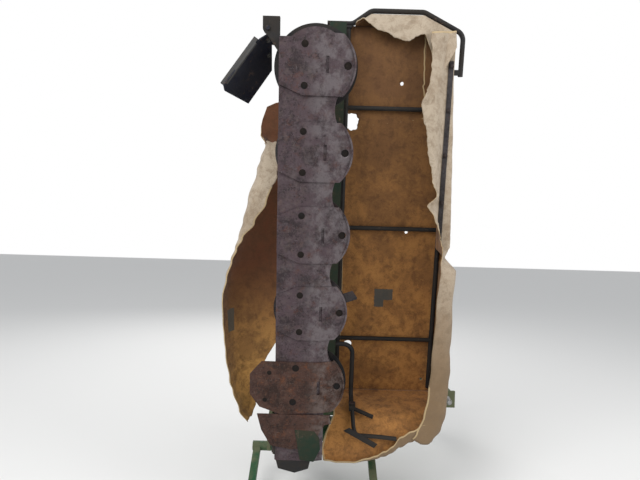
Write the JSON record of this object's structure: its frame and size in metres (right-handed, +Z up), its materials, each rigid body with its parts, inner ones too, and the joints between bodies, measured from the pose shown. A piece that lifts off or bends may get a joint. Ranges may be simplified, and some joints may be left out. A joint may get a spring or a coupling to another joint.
{
  "type": "disc mower",
  "caption": "Rear mounted disc mower with its cutter bar folded up beside the hitch frame, under a torn canvas cover.",
  "frame": {"origin": "On the floor, under the middle of the footprint of the parked mower.", "axes": "+X is forward, towards the tractor. +Y is to the left. +Z is up. The cutter bar is folded up on the right side and leans outwards by ten degrees."},
  "size_m": [1.575, 2.2453, 2.9124],
  "materials": {
    "green_paint": "satin",
    "black_paint": "satin",
    "worn_steel": "matte",
    "disc_steel": "satin",
    "pin_steel": "satin",
    "cast_housing": "matte",
    "canvas": "matte",
    "guard_plastic": "matte"
  },
  "bodies": {
    "headstock": {"headstock": "green_paint", "hitch_pins": "pin_steel", "king_pin": "pin_steel"},
    "head_stand": {"head_stand": "green_paint"},
    "swing_arm": {"swing_arm": "green_paint", "belt_guard": "guard_plastic", "drive_tube": "cast_housing", "shaft_guard": "guard_plastic"},
    "input_shaft": {"input_shaft": "pin_steel"},
    "outer_stand": {"outer_stand": "green_paint"},
    "lift_barrel": {"lift_barrel": "black_paint"},
    "lift_rod": {"lift_rod": "pin_steel"},
    "cutter_unit": {"cutter_bar": "worn_steel", "skids": "worn_steel", "inner_shoe": "worn_steel", "outer_shoe": "worn_steel", "bar_gearbox": "cast_housing", "hanger": "green_paint", "cover_beam": "green_paint", "inner_tube": "black_paint", "inner_canvas": "canvas", "rear_canvas": "canvas", "board_bracket": "black_paint"},
    "front_guard": {"front_frame": "black_paint", "front_strip": "disc_steel", "front_canvas": "canvas", "outer_hoop": "black_paint"},
    "swath_board": {"swath_board": "black_paint"},
    "disc_1": {"disc_1": "black_paint"},
    "disc_2": {"disc_2": "disc_steel"},
    "disc_3": {"disc_3": "disc_steel"},
    "disc_4": {"disc_4": "disc_steel"},
    "disc_5": {"disc_5": "black_paint"}
  },
  "joints": [
    {"name": "breakaway", "type": "hinge", "parent": "headstock", "child": "swing_arm", "pos_m": [0.6075, 0.3265, 0.42], "axis": [0, 0, 1], "range_deg": [-12, 0]},
    {"name": "fold", "type": "hinge", "parent": "swing_arm", "child": "cutter_unit", "pos_m": [-0.2725, -0.3235, 0.42], "axis": [-1, 0, 0], "range_deg": [-85, 0]},
    {"name": "barrel_swing", "type": "hinge", "parent": "swing_arm", "child": "lift_barrel", "pos_m": [-0.2525, 0.2765, 0.62], "axis": [-1, 0, 0], "range_deg": [-2.22, 0.01]},
    {"name": "rod_slide", "type": "slide", "parent": "lift_barrel", "child": "lift_rod", "axis": [0, 0.9913, 0.1316], "range_m": [-0.19017, 0.0005]},
    {"name": "guard_hinge", "type": "hinge", "parent": "cutter_unit", "child": "front_guard", "pos_m": [-0.1625, -0.14131, 0.45212], "axis": [0, 0.1736, -0.9848], "range_deg": [-95, 0]},
    {"name": "board_pivot", "type": "hinge", "parent": "cutter_unit", "child": "swath_board", "pos_m": [-0.4975, -0.96064, 2.58221], "axis": [0, 0.9848, 0.1736], "range_deg": [-15, 20]},
    {"name": "outer_stand_hinge", "type": "hinge", "parent": "swing_arm", "child": "outer_stand", "pos_m": [0.0275, -0.1535, 0.23], "axis": [-1, 0, 0], "range_deg": [-140, 0]},
    {"name": "head_stand_hinge", "type": "hinge", "parent": "headstock", "child": "head_stand", "pos_m": [0.6515, 0.8765, 0.376], "axis": [1, 0, 0], "range_deg": [-95, 0]},
    {"name": "disc_1_spin", "type": "hinge", "parent": "cutter_unit", "child": "disc_1", "pos_m": [-0.2725, -0.7535, 0.83158], "axis": [0, 0.9848, 0.1736], "continuous": true},
    {"name": "disc_2_spin", "type": "hinge", "parent": "cutter_unit", "child": "disc_2", "pos_m": [-0.2725, -0.82296, 1.22551], "axis": [0, 0.9848, 0.1736], "continuous": true},
    {"name": "disc_3_spin", "type": "hinge", "parent": "cutter_unit", "child": "disc_3", "pos_m": [-0.2725, -0.89242, 1.61943], "axis": [0, 0.9848, 0.1736], "continuous": true},
    {"name": "disc_4_spin", "type": "hinge", "parent": "cutter_unit", "child": "disc_4", "pos_m": [-0.2725, -0.96188, 2.01335], "axis": [0, 0.9848, 0.1736], "continuous": true},
    {"name": "disc_5_spin", "type": "hinge", "parent": "cutter_unit", "child": "disc_5", "pos_m": [-0.2725, -1.03134, 2.40728], "axis": [0, 0.9848, 0.1736], "continuous": true},
    {"name": "input_spin", "type": "hinge", "parent": "swing_arm", "child": "input_shaft", "pos_m": [-0.1725, 0.1765, 0.5], "axis": [1, 0, 0], "continuous": true}
  ],
  "couplings": [
    {"joint": "barrel_swing", "follows": "fold", "ratio": 0.026044},
    {"joint": "rod_slide", "follows": "fold", "m_per_rad": 0.12785},
    {"joint": "disc_2_spin", "follows": "disc_1_spin", "ratio": -1},
    {"joint": "disc_3_spin", "follows": "disc_1_spin", "ratio": 1},
    {"joint": "disc_4_spin", "follows": "disc_1_spin", "ratio": -1},
    {"joint": "disc_5_spin", "follows": "disc_1_spin", "ratio": 1},
    {"joint": "input_spin", "follows": "disc_1_spin", "ratio": 0.33333}
  ]
}
